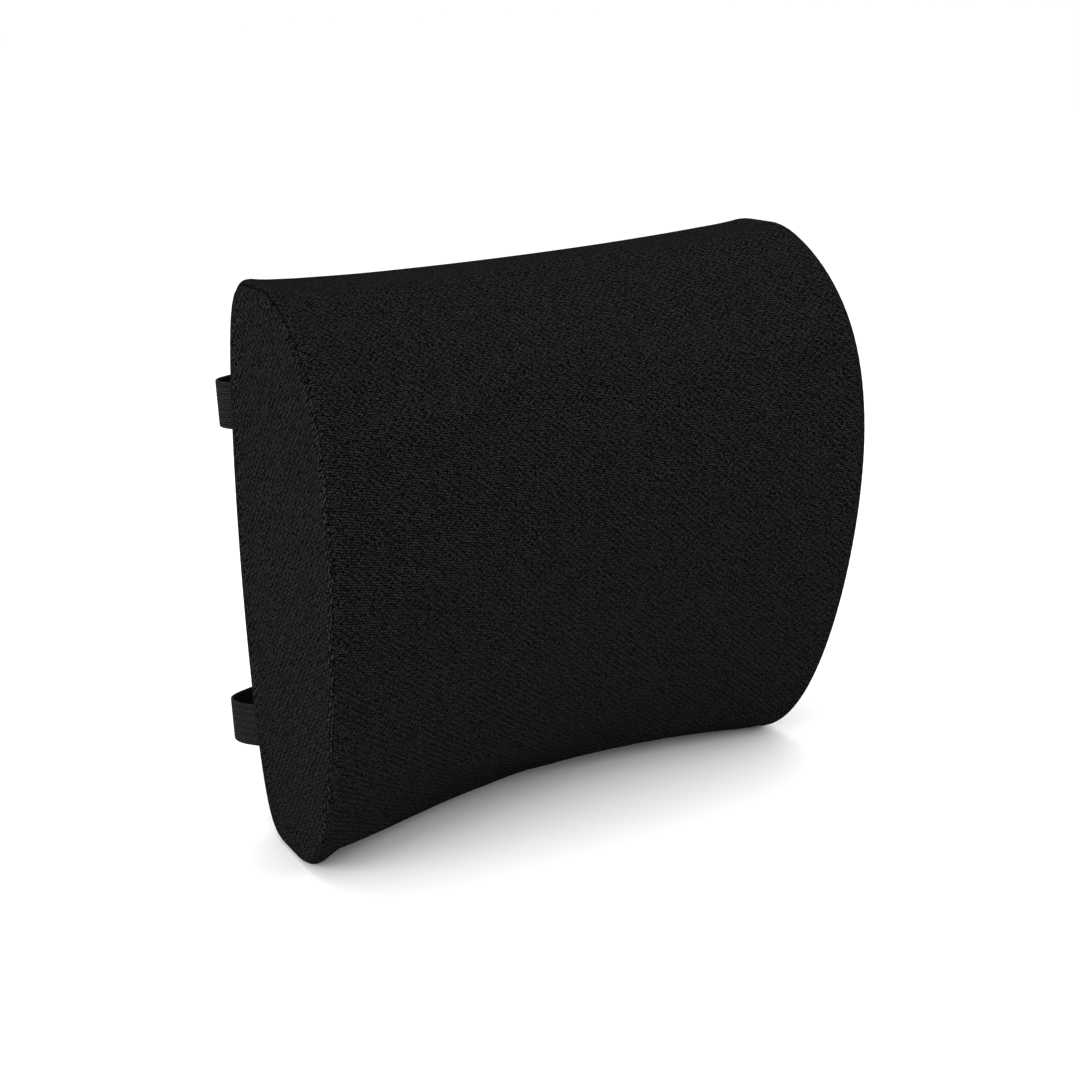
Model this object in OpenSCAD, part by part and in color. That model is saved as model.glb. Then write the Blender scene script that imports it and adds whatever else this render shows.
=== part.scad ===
// Lumbar support cushion: a curved foam pad in a zipped cover, with two elastic
// straps that buckle behind a chair back.
// +Z is up, -Y is the side that the sitter leans on and +X is that side's right.
// The origin is under the middle of the part, on the surface that it stands on.

/* [Cushion] */
// Height of the cushion at its two ends
cushion_h = 320; // [300:1:340]
// Straight distance between the two ends of the curved middle line
chord_w = 319; // [300:1:340]
// How far the middle lies behind the straight line between the ends
arc_sag = 24; // [18:1:30]
// Depth of the rounded front, forward of the tallest line of the section
front_depth = 81.5; // [70:0.5:90]
// Depth of the flat back, behind the tallest line of the section
back_depth = 44; // [40:0.5:50]
// Curve exponent of the front: 2 is an ellipse and more is boxier
front_exp = 1.92; // [1.7:0.02:2.4]
// Curve exponent of the back
back_exp = 6.7; // [5.5:0.1:8]
// How far the fullest line of the front is raised above the middle, as a share
belly_rise = 0.24; // [0:0.01:0.3]
// Extra front depth at the middle, as a share
belly_gain = 0.045; // [0:0.005:0.1]
// Height lost at the middle of the top and bottom edges, as a share
waist = 0.049; // [0.03:0.001:0.06]
// Forward lean of the section, per unit of height
lean = 0.048; // [0.03:0.002:0.06]
// Outward bow of each end panel at mid height
end_bow = 5.3; // [0:0.1:8]
// Radius of the soft edge round each end panel
edge_r = 7; // [5:0.5:9]
// Height pressed flat where the two bottom corners stand
foot_flat = 2; // [1.5:0.1:2.5]

/* [Layers] */
// Thickness of the spacer-knit cover
cover_t = 3; // [2.5:0.1:3.2]
// Thickness of the inner liner
liner_t = 1; // [0.8:0.1:1.2]
// Room between the cover and the liner
liner_room = 1; // [0.8:0.1:1.5]
// Room between the back panels and the liner, for the inside of the zip slider
zip_room = 4; // [3.8:0.1:4.4]

/* [Zip] */
// Height of the zip, from the middle of the cushion
zip_z = -40; // [-50:1:-30]
// Width of the opening between the two back panels
zip_gap = 14; // [13:0.5:16]
// Width of each zip tape
tape_w = 12; // [10:0.5:13]
// Half the angle that the zip chain spans round the curve of the back
zip_half_angle = 13.3; // [12:0.1:13.6]
// Length of the slider
slider_len = 11; // [10:0.5:12]
// Length of the pull tab below its eye
pull_len = 19; // [14:1:20]

/* [Straps] */
// Height of the strap centres above and below the middle of the cushion
strap_z = 92; // [85:1:97]
// Width of the elastic webbing
web_w = 25; // [24:0.5:26]
// Thickness of the elastic webbing
web_t = 1.6; // [1.4:0.1:1.8]
// Straight lead-out of the upper and of the lower strap from the side seam
lead_out = [2, 6]; // [1:1:7]
// Radius of the first bend of the upper and of the lower strap
first_bend_r = [10, 16]; // [9:1:17]
// Place of each adjuster along its strap, from the middle
glide_x = 55; // [52:1:60]

/* [Buckles] */
// Width of the side-release buckles
buckle_w = 33; // [32:0.5:35]
// Thickness of the socket
socket_t = 9; // [8.6:0.1:9.4]
// Thickness of the plug's base
plug_t = 7.6; // [7:0.1:8]
// Radius of the bars that the webbing is looped on
bar_r = 1.7; // [1.5:0.1:1.8]

/* [Hidden] */
fabric_colour = "#1c1c1e";
webbing_colour = "#262628";
plastic_colour = "#141415";
metal_colour = "#3a3a3c";
foam_colour = "#d8d2c0";
liner_colour = "#e6e6e2";

arc_r = (pow(chord_w / 2, 2) + pow(arc_sag, 2)) / (2 * arc_sag);
half_arc = arc_r * asin(chord_w / 2 / arc_r) * PI / 180;
half_h = cushion_h / 2;
foot_z = half_h - foot_flat;
seam_gap = 0.3;
seam_step = edge_r * (1 - sqrt(0.5));
corner_angle = 45;
corner_share = 0.895;
liner_skin = cover_t + liner_room;
foam_skin = liner_skin + liner_t + 0.3;
zip_extra = zip_room - liner_room;

// Webbing, buckle and adjuster geometry, measured from the centre of a strap
seam_lift = 0.5;
seam_heading = 128;
rest_heading = 16;
strap_sag = 31.9;
tie_gap = web_t + 0.2;
socket_bar_x = -26.3;
socket_end_x = -29;
plug_bar_x = 22.5;
plug_end_x = 25.5;
buckle_corner_r = 4;
wrap_r = bar_r + 0.15 + web_t / 2;
slot_half = web_w / 2 + 0.7;
bar_half = slot_half + 1;
mouth_x = 4;
shoulder_x = 4.6;
cavity_half = 13.6;
cavity_t = 4.8;
tongue_tip_x = -13;
tongue_w = 7.2;
arm_t = 4.2;
arm_pivot_z = 11;
arm_root_r = 2;
glide_bar_r = 1.3;
glide_bar_y = -(tie_gap + web_t / 2 + 0.2 + glide_bar_r);
glide_wrap_r = glide_bar_r + 0.2 + web_t / 2;
glide_half = 12;

// Place of the zip: the chain follows the circle through the back's middle and near its ends
zip_mid = back_point(0, zip_z, 0);
zip_far = back_point(0.8 * half_arc, zip_z, 0);
zip_drop = zip_mid[1] - zip_far[1];
zip_r = (pow(zip_far[0], 2) + pow(zip_drop, 2)) / (2 * zip_drop);
zip_centre_y = zip_mid[1] - zip_r;
slider_angle = slider_len / zip_r * 180 / PI;
bail_h = 2.5;
bail_r = 0.6;
bail_half = 3.4;
pull_t = 1.4;
pull_w = 5.2;

// The whole part is placed once: its feet on Z = 0 and the middle of its depth on Y = 0
strap_y = [for (side = [1, -1]) seam_y(side * strap_z) + strap_sag];
front_y = min([for (a = [130:5:200]) front_face_y(a)]);
shift_y = -(front_y + strap_y[1] + socket_t / 2) / 2;

// ---- Shape of the cushion ----

// A point of the upright section at an angle: 0 is straight back, 90 is straight up
function section_point(angle, back_a, front_a, high) =
    let (c = cos(angle), s = sin(angle),
         n = c > 0 ? back_exp : front_exp,
         r = pow(pow(abs(c), n) + pow(abs(s), n), -1 / n),
         y = c * r,
         z = s * r,
         rise = c > 0 ? 0 : belly_rise * (1 - z * z) * abs(y))
    [y * (c > 0 ? back_a : front_a), (z + rise) * high];

// The section carried to a place d along the curved middle line
function on_curve(d, y, z) =
    let (a = d / arc_r * 180 / PI,
         t = d / half_arc,
         bow = end_bow * (1 - pow(z / half_h, 2)) * t * abs(t))
    [arc_r * sin(a) + bow, arc_r * (cos(a) - 1) + arc_sag + y - lean * z, z];

// How far the section draws in close to an end, where the edge is round
function edge_inset(d, half) =
    let (e = edge_r - (half - abs(d)))
    e <= 0 ? 0 : edge_r - sqrt(max(0, edge_r * edge_r - e * e));

function fullness(d, half) = 1 - pow(d / half, 2);
function high_at(d, skin) =
    half_h * (1 - waist * fullness(d, half_arc)) - skin - edge_inset(d, half_arc - skin);
function front_at(d, skin) =
    front_depth * (1 + belly_gain * fullness(d, half_arc)) - skin - edge_inset(d, half_arc - skin);
function back_at(d, skin, extra) = back_depth - skin - extra - edge_inset(d, half_arc - skin);

// One ring of the surface that lies a skin's depth inside the cushion
function ring(d, skin, extra, angles, share = 1) =
    [for (a = angles)
        let (p = section_point(a, back_at(d, skin, extra), front_at(d, skin), high_at(d, skin)))
        on_curve(d, p[0] * share, p[1] * share)];

// A point of the back face at a height z
function back_point(d, z, skin) =
    let (high = high_at(d, skin),
         y = back_at(d, skin, 0) * pow(1 - pow(abs(z / high), back_exp), 1 / back_exp))
    on_curve(d, y, z);

// Depth of the front at an end, where it reaches furthest forward
function front_face_y(angle) =
    let (d = half_arc - edge_r, p = section_point(angle, 0, front_at(d, 0), high_at(d, 0)))
    on_curve(d, p[0], p[1])[1];

// Depth of the seam between an end panel and the back at a height z
function seam_y(z) = back_point(half_arc - seam_step, z, 0)[1];
function seam_x(z) = back_point(half_arc - seam_step, z, 0)[0];

// Places along the middle line, dense where the edge is round
function stations(half, steps) =
    let (inner = half - edge_r)
    concat([-half, -half + seam_step],
           [for (i = [0:steps]) -inner + 2 * inner * i / steps],
           [half - seam_step, half]);

// ---- Surface builders ----

// A closed body through rings of points, with a pole at each end
module loft(pole_a, rings, pole_b) {
    c = len(rings[0]);
    r = len(rings);
    end = 1 + (r - 1) * c;
    points = concat([pole_a], [for (g = rings) each g], [pole_b]);
    faces = concat(
        [for (j = [0:c - 1]) [0, 1 + j, 1 + (j + 1) % c]],
        [for (i = [0:r - 2], j = [0:c - 1])
            let (a = 1 + i * c + j, b = 1 + i * c + (j + 1) % c)
            each [[a, a + c, b], [b, a + c, b + c]]],
        [for (j = [0:c - 1]) [end + c, end + (j + 1) % c, end + j]]);
    polyhedron(points, faces);
}

// A sheet with thickness between an outer and an inner grid of points
module sheet(outer, inner) {
    c = len(outer[0]);
    r = len(outer);
    m = r * c;
    points = concat([for (g = outer) each g], [for (g = inner) each g]);
    skin_faces = [for (i = [0:r - 2], j = [0:c - 2])
        let (a = i * c + j, b = a + 1, e = a + c, f = e + 1)
        each [[a, e, b], [b, e, f], [m + a, m + b, m + e], [m + b, m + f, m + e]]];
    side_faces = [for (i = [0:r - 2])
        let (a = i * c, e = a + c, b = a + c - 1, f = b + c)
        each [[e, a, m + a], [e, m + a, m + e], [b, f, m + f], [b, m + f, m + b]]];
    end_faces = [for (j = [0:c - 2])
        let (a = j, b = j + 1, e = (r - 1) * c + j, f = e + 1)
        each [[a, b, m + b], [a, m + b, m + a], [f, e, m + e], [f, m + e, m + f]]];
    polyhedron(points, concat(skin_faces, side_faces, end_faces));
}

module placed() {
    translate([0, shift_y, foot_z]) children();
}

// ---- Filling ----

inner_angles = [for (a = [0:9:351]) a];

module pad_body(skin, extra) {
    half = half_arc - skin;
    rings = [for (d = stations(half, 10)) ring(d, skin, extra, inner_angles)];
    loft(on_curve(-half, 0, 0), rings, on_curve(half, 0, 0));
}

module foam_core() {
    color(foam_colour) placed() pad_body(foam_skin, zip_extra);
}

module inner_liner() {
    color(liner_colour) placed() difference() {
        pad_body(liner_skin, zip_extra);
        pad_body(liner_skin + liner_t, zip_extra);
    }
}

// ---- Cover ----

front_angles = concat(
    [for (a = [corner_angle:2.5:62.5]) a],
    [for (a = [65:5:295]) a],
    [for (a = [297.5:2.5:360 - corner_angle]) a]);
end_angles = [for (a = [0:5:355]) a];
panel_half = half_arc - seam_step - seam_gap;
function panel_stations(half) = concat(
    [-half],
    [for (i = [0:16]) (half_arc - edge_r) * (i / 8 - 1)],
    [half]);
outer_stations = panel_stations(panel_half);
inner_stations = panel_stations(panel_half - cover_t);
back_shares = [0, 0.2, 0.4, 0.6, 0.75, 0.87, 0.94, 1];

// Half of the opening for the zip: it closes up before the end panels
function zip_half_gap(d) = abs(d) < half_arc - edge_r - 1 ? zip_gap / 2 : 0.15;

function back_ring(d, side, skin) =
    let (from = zip_z + side * zip_half_gap(d), to = side * corner_share * high_at(d, skin))
    [for (share = back_shares) back_point(d, from + (to - from) * share, skin)];

module cover_front_panel() {
    color(fabric_colour) placed() difference() {
        sheet([for (d = outer_stations) ring(d, 0, 0, front_angles)],
              [for (d = inner_stations) ring(d, cover_t, 0, front_angles)]);
        translate([-chord_w, -chord_w, -foot_z - cushion_h]) cube([2 * chord_w, 2 * chord_w, cushion_h]);
    }
}

module back_panel(side) {
    color(fabric_colour) placed() {
        outer = [for (d = outer_stations) back_ring(d, side, 0)];
        inner = [for (d = inner_stations) back_ring(d, side, cover_t)];
        sheet(side > 0 ? outer : reverse(outer), side > 0 ? inner : reverse(inner));
    }
}

function reverse(list) = [for (i = [len(list) - 1:-1:0]) list[i]];

module cover_back_upper_panel() {
    back_panel(1);
}

module cover_back_lower_panel() {
    back_panel(-1);
}

// The end panel runs from the seam, over the round edge, to the middle of the end
module end_panel() {
    inner_half = half_arc - cover_t;
    shares = [0.45, 0.8, 1];
    outer_rings = [for (k = shares) ring(-half_arc, 0, 0, end_angles, k)];
    inner_rings = [for (k = reverse(shares)) ring(-inner_half, cover_t, 0, end_angles, k)];
    loft(on_curve(-half_arc, 0, 0),
         concat(outer_rings,
                [ring(-half_arc + seam_step, 0, 0, end_angles)],
                [ring(-inner_half + seam_step, cover_t, 0, end_angles)],
                inner_rings),
         on_curve(-inner_half, 0, 0));
}

module cover_left_end_panel() {
    color(fabric_colour) placed() end_panel();
}

module cover_right_end_panel() {
    color(fabric_colour) placed() mirror([1, 0, 0]) end_panel();
}

// ---- Zip ----

// A band that follows the curve of the back: radii and heights are from the zip's line
module zip_band(inner, outer, low, high, from_angle, to_angle) {
    translate([0, zip_centre_y, zip_z])
        rotate([0, 0, 90 + from_angle])
            rotate_extrude(angle = to_angle - from_angle, $fn = 360)
                translate([zip_r + inner, low]) square([outer - inner, high - low]);
}

// Children stand at an angle round the curve, with +Y pointing out of the back
module at_zip(angle) {
    translate([0, zip_centre_y, zip_z]) rotate([0, 0, angle]) translate([0, zip_r, 0]) children();
}

tape_top = -cover_t - 0.3 - lean * tape_w;
tape_t = 0.6;
coil_h = 2.4;
coil_w = 2.9;
tape_half_angle = zip_half_angle + 1.6;
slider_rest = -(zip_half_angle - slider_angle / 2);

module zip_tape(side) {
    near = 1.5;
    low = side > 0 ? near : -tape_w;
    color(fabric_colour) placed()
        zip_band(tape_top - tape_t, tape_top, low, low + tape_w - near, -tape_half_angle, tape_half_angle);
}

module zip_upper_tape() {
    zip_tape(1);
}

module zip_lower_tape() {
    zip_tape(-1);
}

module zip_coil(side) {
    low = side > 0 ? 0.05 : -coil_w;
    bottom = tape_top + 0.05;
    color(plastic_colour) placed()
        zip_band(bottom, bottom + coil_h, low, low + coil_w - 0.05, slider_rest, zip_half_angle);
}

module zip_upper_coil() {
    zip_coil(1);
}

module zip_lower_coil() {
    zip_coil(-1);
}

// One block across the open end of the chain, and one on each tape at the closed end
module zip_end_stops() {
    bottom = tape_top + 0.05;
    stop_w = 2.2;
    top = bottom + coil_h;
    color(metal_colour) placed() {
        zip_band(bottom, top, -3, 3, zip_half_angle + 0.05, zip_half_angle + 0.35);
        for (low = [0.6, -0.6 - stop_w])
            zip_band(bottom, top, low, low + stop_w, -zip_half_angle - 0.4, -zip_half_angle - 0.15);
    }
}

slider_w = 10;
slider_corner_r = 2;
plate_t = 1.3;
slider_top = tape_top + coil_h + 0.3;
slider_bottom = tape_top - tape_t - 0.25 - plate_t;

module slider_plate() {
    rotate([90, 0, 0]) linear_extrude(plate_t, center = true) {
        square([slider_len - 2 * slider_corner_r, slider_w], center = true);
        square([slider_len, slider_w - 2 * slider_corner_r], center = true);
        for (x = [-1, 1], z = [-1, 1])
            translate([x * (slider_len / 2 - slider_corner_r), z * (slider_w / 2 - slider_corner_r)])
                circle(r = slider_corner_r, $fn = 48);
    }
}

// Two plates joined by a bridge between the coils, flanges beside them and a bail on top
module zip_slider() {
    bridge_len = 2.6;
    bridge_w = 2.2;
    flange_t = 1;
    flange_h = slider_top - tape_top - 0.25;
    bail_y = slider_top + plate_t + bail_h;
    color(metal_colour) placed() at_zip(slider_rest) {
        translate([0, slider_top + plate_t / 2, 0]) slider_plate();
        translate([0, slider_bottom + plate_t / 2, 0]) slider_plate();
        translate([slider_len / 2 - bridge_len, slider_bottom + 0.5, -bridge_w / 2])
            cube([bridge_len - 0.3, slider_top - slider_bottom, bridge_w]);
        for (z = [-slider_w / 2, slider_w / 2 - flange_t])
            translate([-slider_len / 2 + slider_corner_r, slider_top - flange_h, z])
                cube([slider_len - 2 * slider_corner_r, flange_h + 0.2, flange_t]);
        for (x = [-bail_half, bail_half])
            translate([x, slider_top + plate_t - 0.2, 0])
                rotate([-90, 0, 0]) cylinder(r = bail_r, h = bail_h + 0.2, $fn = 32);
        translate([0, bail_y, 0])
            rotate([0, 90, 0]) cylinder(r = bail_r, h = 2 * (bail_half + bail_r), center = true, $fn = 32);
    }
}

// An eye round the bail's bar and a tab that hangs below it
module zip_pull() {
    eye_r = 1.3;
    hole_r = 1.3;
    neck_w = 2.4;
    round_r = pull_w / 2;
    color(metal_colour) placed() at_zip(slider_rest)
        translate([0, slider_top + plate_t + bail_h, 0]) {
            rotate([0, 90, 0]) rotate_extrude($fn = 48) translate([eye_r, 0]) circle(r = 0.5, $fn = 24);
            translate([0, 0, -eye_r - 0.2]) rotate([90, 0, 0]) linear_extrude(pull_t, center = true)
                difference() {
                    union() {
                        translate([-neck_w / 2, -4]) square([neck_w, 4]);
                        translate([-round_r, -pull_len + round_r]) square([pull_w, pull_len - 3 - round_r]);
                        translate([0, -pull_len + round_r]) circle(r = round_r, $fn = 48);
                        translate([0, -3.2]) circle(r = round_r, $fn = 48);
                    }
                    translate([0, -pull_len + round_r + 0.4]) circle(r = hole_r, $fn = 32);
                }
        }
}

// ---- Webbing ----

// Points of a right-hand arc that starts at p, with headings in degrees
function arc_points(p, r, from, to, steps = 6) =
    [for (i = [1:steps])
        let (h = from + (to - from) * i / steps)
        p + r * [sin(from) - sin(h), cos(h) - cos(from)]];

function last(list) = list[len(list) - 1];

// Route of a strap in plan, from its left side seam to the straight stretch behind the back
function strap_route(level) =
    let (z = level == 0 ? strap_z : -strap_z,
         start = [-seam_x(z) - seam_lift, seam_y(z) + seam_lift],
         out = start + lead_out[level] * [cos(seam_heading), sin(seam_heading)],
         turn = arc_points(out, first_bend_r[level], seam_heading, 90),
         corner = arc_points(last(turn), 7.5, 90, 25, 8),
         relax = arc_points(last(corner), 40, 25, rest_heading, 4),
         ease_r = 150,
         ease_drop = ease_r * (1 - cos(rest_heading)),
         run = (strap_y[level] - ease_drop - last(relax)[1]) / sin(rest_heading),
         reach = last(relax) + run * [cos(rest_heading), sin(rest_heading)],
         ease = arc_points(reach, ease_r, rest_heading, 0, 8))
    concat([start, out], turn, corner, relax, [reach], ease);

// Route of the loop round a bar at x, coming along from -X and going back under itself
function bar_loop(x, y, back_to) =
    concat([[x - 7.7, y], [x - 3.7, y + wrap_r * 0.62]],
           [for (a = [90:-22.5:-90]) [x + wrap_r * cos(a), y + wrap_r * sin(a)]],
           [[x - 4.2, y - wrap_r * 0.85], [x - 7.7, y - tie_gap], [back_to, y - tie_gap]]);

function mirrored(list) = [for (p = list) [-p[0], p[1]]];

function route_normal(route, i) =
    let (a = route[max(0, i - 1)], b = route[min(len(route) - 1, i + 1)], v = b - a)
    [-v[1], v[0]] / norm(v);

// A flat band of webbing along a route in plan
module webbing(route, level) {
    z = (level == 0 ? strap_z : -strap_z) - web_w / 2;
    n = len(route);
    side_a = [for (i = [0:n - 1]) route[i] + route_normal(route, i) * web_t / 2];
    side_b = [for (i = [n - 1:-1:0]) route[i] - route_normal(route, i) * web_t / 2];
    color(webbing_colour) placed() translate([0, 0, z]) linear_extrude(web_w) polygon(concat(side_a, side_b));
}

module strap_left(level) {
    tail_x = socket_bar_x - 32;
    webbing(concat(strap_route(level), bar_loop(socket_bar_x, strap_y[level], tail_x)), level);
}

// The right half goes through the adjuster, round the plug's bar and back to the adjuster's bar
module strap_right(level) {
    y = strap_y[level];
    bar_y = y + glide_bar_y;
    turn = [for (a = [90:-22.5:-90]) [-glide_x - glide_wrap_r * cos(a), bar_y + glide_wrap_r * sin(a)]];
    tail = [[-glide_x + 2, bar_y - glide_wrap_r + 0.1],
            [-glide_x + 8.5, y - 2 * tie_gap],
            [-glide_x + 18, y - 2 * tie_gap]];
    loop = bar_loop(-plug_bar_x, y, -glide_x + 0.5);
    webbing(mirrored(concat(strap_route(level), loop, turn, tail)), level);
}

module upper_strap_left() {
    strap_left(0);
}

module upper_strap_right() {
    strap_right(0);
}

module lower_strap_left() {
    strap_left(1);
}

module lower_strap_right() {
    strap_right(1);
}

// ---- Buckles and adjusters ----

// Children are drawn with X along the strap and the strap's centre at the origin
module on_strap(level) {
    placed() translate([0, strap_y[level], level == 0 ? strap_z : -strap_z]) children();
}

module round_slab(from_x, to_x, width, thick, r) {
    rotate([90, 0, 0]) linear_extrude(thick, center = true) {
        translate([from_x + r, -width / 2]) square([to_x - from_x - 2 * r, width]);
        translate([from_x, -width / 2 + r]) square([to_x - from_x, width - 2 * r]);
        for (x = [from_x + r, to_x - r], z = [-1, 1])
            translate([x, z * (width / 2 - r)]) circle(r = r, $fn = 48);
    }
}

module web_bar(x) {
    translate([x, 0, 0]) cylinder(r = bar_r, h = 2 * bar_half, center = true, $fn = 48);
}

module centred_box(from_x, to_x, thick, width) {
    translate([from_x, -thick / 2, -width / 2]) cube([to_x - from_x, thick, width]);
}

module buckle_socket(level) {
    web_slot_x = -19.4;
    cavity_x = -18;
    window = [-12.8, -3.7];
    color(plastic_colour) on_strap(level) {
        difference() {
            round_slab(socket_end_x, mouth_x, buckle_w, socket_t, buckle_corner_r);
            centred_box(socket_end_x - 1, web_slot_x, socket_t + 2, 2 * slot_half);
            centred_box(cavity_x, mouth_x + 1, cavity_t, 2 * cavity_half);
            centred_box(window[0], window[1], cavity_t, buckle_w + 2);
        }
        web_bar(socket_bar_x);
    }
}

module buckle_plug(level) {
    web_slot_x = 15.5;
    color(plastic_colour) on_strap(level) {
        difference() {
            round_slab(shoulder_x, plug_end_x, buckle_w, plug_t, buckle_corner_r);
            centred_box(web_slot_x, plug_end_x + 1.5, plug_t + 2, 2 * slot_half);
            for (z = [-1, 1])
                translate([shoulder_x, 0, z * arm_pivot_z]) rotate([90, 0, 0])
                    cylinder(r = arm_root_r + 0.05, h = arm_t + 0.2, center = true, $fn = 48);
        }
        centred_box(tongue_tip_x, shoulder_x + 1, arm_t, tongue_w);
        web_bar(plug_bar_x);
    }
}

// One springy arm of the plug, with the pad that is squeezed and catches in the window
module buckle_arm(level, side) {
    inner_z = 9.4;
    beam_z = 12.6;
    pad_z = 16;
    tip_x = -15;
    color(plastic_colour) on_strap(level) mirror([0, 0, side > 0 ? 0 : 1]) {
        translate([shoulder_x, 0, arm_pivot_z]) rotate([90, 0, 0])
            cylinder(r = arm_root_r, h = arm_t, center = true, $fn = 48);
        rotate([90, 0, 0]) linear_extrude(arm_t, center = true)
            polygon([[shoulder_x - 0.2, inner_z], [shoulder_x - 0.2, beam_z], [-4, beam_z],
                     [-4, pad_z - 0.6], [-6, pad_z], [-9, pad_z - 0.4], [-12.4, beam_z + 0.6],
                     [tip_x, inner_z + 2], [tip_x, inner_z]]);
    }
}

// Adjuster: the strap runs under its two outer bars, and its end is sewn round the middle bar
module strap_adjuster(level) {
    outer_y = web_t / 2 + 0.2 + glide_bar_r;
    outer_x = glide_half - glide_bar_r;
    rail_t = 2.8;
    boss_r = 2.2;
    color(plastic_colour) on_strap(level) translate([glide_x, 0, 0]) {
        for (z = [slot_half, -slot_half - rail_t])
            translate([0, 0, z]) linear_extrude(rail_t) {
                translate([-outer_x, outer_y - glide_bar_r]) square([2 * outer_x, 2 * glide_bar_r]);
                translate([-boss_r, glide_bar_y]) square([2 * boss_r, outer_y - glide_bar_y]);
                translate([0, glide_bar_y]) circle(r = boss_r, $fn = 48);
                for (x = [-outer_x, outer_x])
                    translate([x, outer_y]) circle(r = glide_bar_r, $fn = 48);
            }
        for (place = [[-outer_x, outer_y], [outer_x, outer_y], [0, glide_bar_y]])
            translate([place[0], place[1], 0])
                cylinder(r = glide_bar_r, h = 2 * bar_half, center = true, $fn = 48);
    }
}

module upper_buckle_socket() {
    buckle_socket(0);
}

module upper_buckle_plug() {
    buckle_plug(0);
}

module upper_buckle_top_arm() {
    buckle_arm(0, 1);
}

module upper_buckle_bottom_arm() {
    buckle_arm(0, -1);
}

module upper_strap_adjuster() {
    strap_adjuster(0);
}

module lower_buckle_socket() {
    buckle_socket(1);
}

module lower_buckle_plug() {
    buckle_plug(1);
}

module lower_buckle_top_arm() {
    buckle_arm(1, 1);
}

module lower_buckle_bottom_arm() {
    buckle_arm(1, -1);
}

module lower_strap_adjuster() {
    strap_adjuster(1);
}

foam_core();
inner_liner();
cover_front_panel();
cover_left_end_panel();
cover_right_end_panel();
cover_back_upper_panel();
cover_back_lower_panel();
zip_upper_tape();
zip_lower_tape();
zip_upper_coil();
zip_lower_coil();
zip_end_stops();
zip_slider();
zip_pull();
upper_strap_left();
upper_strap_right();
upper_buckle_socket();
upper_buckle_plug();
upper_buckle_top_arm();
upper_buckle_bottom_arm();
upper_strap_adjuster();
lower_strap_left();
lower_strap_right();
lower_buckle_socket();
lower_buckle_plug();
lower_buckle_top_arm();
lower_buckle_bottom_arm();
lower_strap_adjuster();
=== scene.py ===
import math

import bmesh
import bpy
import numpy as np
from mathutils import Matrix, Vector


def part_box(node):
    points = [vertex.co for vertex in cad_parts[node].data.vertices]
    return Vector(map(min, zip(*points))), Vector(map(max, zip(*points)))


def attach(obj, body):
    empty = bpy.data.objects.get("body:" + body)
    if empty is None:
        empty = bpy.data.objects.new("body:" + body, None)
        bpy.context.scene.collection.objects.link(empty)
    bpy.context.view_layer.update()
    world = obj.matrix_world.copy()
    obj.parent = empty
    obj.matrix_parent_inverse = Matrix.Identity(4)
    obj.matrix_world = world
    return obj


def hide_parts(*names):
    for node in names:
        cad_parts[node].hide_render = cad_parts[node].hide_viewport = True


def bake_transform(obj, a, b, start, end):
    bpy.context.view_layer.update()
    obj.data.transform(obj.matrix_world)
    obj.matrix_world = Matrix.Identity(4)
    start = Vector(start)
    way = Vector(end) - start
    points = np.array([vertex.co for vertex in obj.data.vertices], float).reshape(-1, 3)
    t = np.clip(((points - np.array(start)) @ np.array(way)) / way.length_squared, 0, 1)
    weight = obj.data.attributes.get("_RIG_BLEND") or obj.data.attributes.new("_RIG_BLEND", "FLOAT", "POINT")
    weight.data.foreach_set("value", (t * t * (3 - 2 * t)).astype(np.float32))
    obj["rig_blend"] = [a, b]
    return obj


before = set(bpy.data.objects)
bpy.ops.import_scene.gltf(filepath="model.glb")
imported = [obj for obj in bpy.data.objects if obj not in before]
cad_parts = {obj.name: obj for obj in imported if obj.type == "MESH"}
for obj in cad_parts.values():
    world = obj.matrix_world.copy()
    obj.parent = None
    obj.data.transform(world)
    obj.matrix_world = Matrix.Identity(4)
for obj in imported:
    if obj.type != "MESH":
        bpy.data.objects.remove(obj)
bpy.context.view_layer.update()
MM = 0.001

# ---------------------------------------------------------------- shape, as in the part's source (mm)

CHORD, SAG = 319.0, 24.0
FRONT, BACK = 81.5, 44.0
FRONT_EXP, BACK_EXP = 1.92, 6.7
BELLY_RISE, BELLY_GAIN, WAIST, LEAN, BOW = 0.24, 0.045, 0.049, 0.048, 5.3
EDGE_R, HALF_H, FOOT = 7.0, 160.0, 2.0
COVER_T = 3.0
ZIP_Z, ZIP_GAP = -40.0, 14.0
ARC_R = ((CHORD / 2) ** 2 + SAG**2) / (2 * SAG)
HALF = ARC_R * math.asin(CHORD / 2 / ARC_R)
FOOT_Z = HALF_H - FOOT
SEAM = EDGE_R * (1 - math.sqrt(0.5))
STRAP_Z, WEB_W, WEB_T = 92.0, 25.0, 1.6
TIE = WEB_T + 0.2
ZIP_HALF, TAPE_W = 13.3, 12.0
STRAP_SAG, SOCKET_HALF = 31.9, 4.5  # how far behind the seam the straps run, and half a socket's thickness
TAPE_TOP = -COVER_T - 0.3 - LEAN * TAPE_W
FACE_R = 90.0
MESH_WIDE, MESH_TALL, END_STRETCH = 4.4, 3.9, 1.12


def section(angle, back_a, front_a, high):
    """Point (y, z) of the upright section: 0 degrees is straight back, 90 is straight up."""
    c, s = np.cos(np.radians(angle)), np.sin(np.radians(angle))
    n = np.where(c > 0, BACK_EXP, FRONT_EXP)
    r = (np.abs(c) ** n + np.abs(s) ** n) ** (-1 / n)
    y, z = c * r, s * r
    rise = np.where(c > 0, 0, BELLY_RISE * (1 - z * z) * np.abs(y))
    return y * np.where(c > 0, back_a, front_a), (z + rise) * high


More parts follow.
